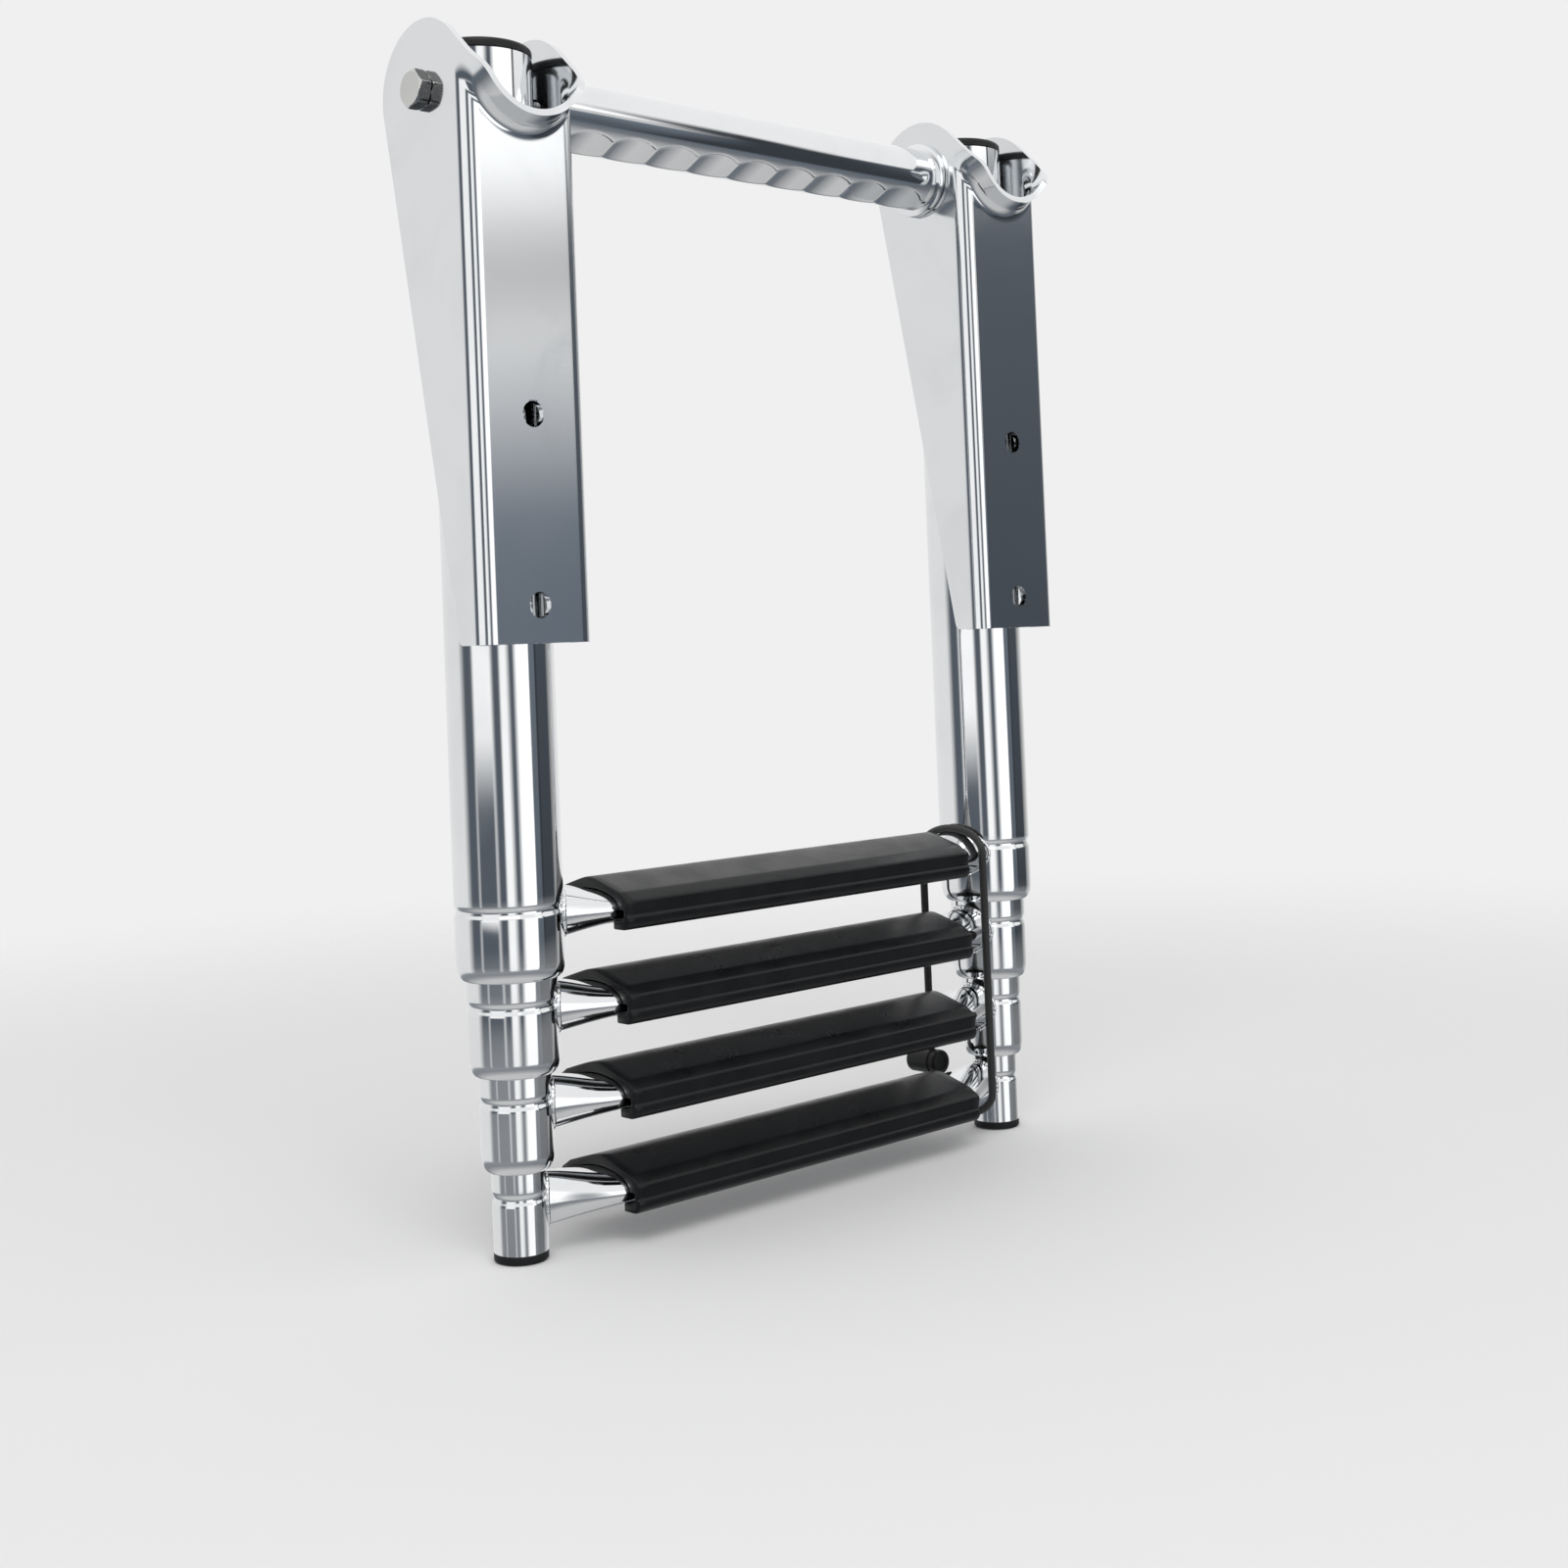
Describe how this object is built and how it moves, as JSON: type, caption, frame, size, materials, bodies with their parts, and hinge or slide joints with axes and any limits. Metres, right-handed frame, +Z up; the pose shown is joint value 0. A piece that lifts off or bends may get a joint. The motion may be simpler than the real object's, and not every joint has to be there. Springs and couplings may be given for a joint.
{
  "type": "telescopic boat ladder",
  "caption": "Telescopic boat ladder of nested stainless tubes with black plastic treads, a scalloped hand grip and two hinged U-channel deck brackets, shown collapsed and folded",
  "frame": {"origin": "on the flat face of the left bracket's web, midway between its two screw holes", "axes": "+X across the ladder from the left leg to the right, -Y the way the bracket webs face, +Z up along the folded legs"},
  "size_m": [0.3083, 0.0614, 0.4275],
  "materials": {
    "leg_steel": "polished stainless",
    "rung_steel": "polished stainless",
    "bracket_steel": "satin web and cheeks",
    "fastener_steel": "satin",
    "tread_plastic": "fine matt texture",
    "cap_plastic": "matt",
    "foot_rubber": "matt",
    "bush_plastic": "smooth",
    "loop_elastic": "matt"
  },
  "bodies": {
    "upper_frame": {"rung_1": "rung_steel", "tread_1": "tread_plastic", "leg_tube_1_left": "leg_steel", "guide_bush_1_left": "bush_plastic", "leg_tube_1_right": "leg_steel", "guide_bush_1_right": "bush_plastic", "cap_left": "cap_plastic", "collar_left": "leg_steel", "grip_plug_left": "fastener_steel", "pivot_bolt_left": "fastener_steel", "cap_right": "cap_plastic", "collar_right": "leg_steel", "grip_plug_right": "fastener_steel", "pivot_bolt_right": "fastener_steel", "hand_grip": "leg_steel", "retaining_loop": "loop_elastic"},
    "bracket_left": {"bracket_left": "bracket_steel"},
    "bracket_right": {"bracket_right": "bracket_steel"},
    "section_2": {"rung_2": "rung_steel", "tread_2": "tread_plastic", "leg_tube_2_left": "leg_steel", "slider_2_left": "bush_plastic", "guide_bush_2_left": "bush_plastic", "leg_tube_2_right": "leg_steel", "slider_2_right": "bush_plastic", "guide_bush_2_right": "bush_plastic"},
    "section_3": {"rung_3": "rung_steel", "tread_3": "tread_plastic", "leg_tube_3_left": "leg_steel", "slider_3_left": "bush_plastic", "guide_bush_3_left": "bush_plastic", "leg_tube_3_right": "leg_steel", "slider_3_right": "bush_plastic", "guide_bush_3_right": "bush_plastic"},
    "section_4": {"rung_4": "rung_steel", "tread_4": "tread_plastic", "leg_tube_4_left": "leg_steel", "slider_4_left": "bush_plastic", "leg_tube_4_right": "leg_steel", "slider_4_right": "bush_plastic", "foot_left": "foot_rubber", "foot_right": "foot_rubber", "loop_toggle": "cap_plastic"}
  },
  "joints": [
    {"name": "ladder_hinge", "type": "hinge", "parent": "bracket_left", "child": "upper_frame", "pos_m": [0, 0.025, 0.1455], "axis": [1, 0, 0], "range_deg": [0, 253]},
    {"name": "bracket_right_hinge", "type": "hinge", "parent": "upper_frame", "child": "bracket_right", "pos_m": [0.25, 0.025, 0.1455], "axis": [-1, 0, 0], "range_deg": [0, 253]},
    {"name": "section_2_slide", "type": "slide", "parent": "upper_frame", "child": "section_2", "axis": [0, 0, -1], "range_m": [0, 0.245], "deforming": ["retaining_loop"]},
    {"name": "section_3_slide", "type": "slide", "parent": "section_2", "child": "section_3", "axis": [0, 0, -1], "range_m": [0, 0.245], "deforming": ["retaining_loop"]},
    {"name": "section_4_slide", "type": "slide", "parent": "section_3", "child": "section_4", "axis": [0, 0, -1], "range_m": [0, 0.245], "deforming": ["retaining_loop"]}
  ],
  "couplings": [
    {"joint": "bracket_right_hinge", "follows": "ladder_hinge", "ratio": 1}
  ]
}
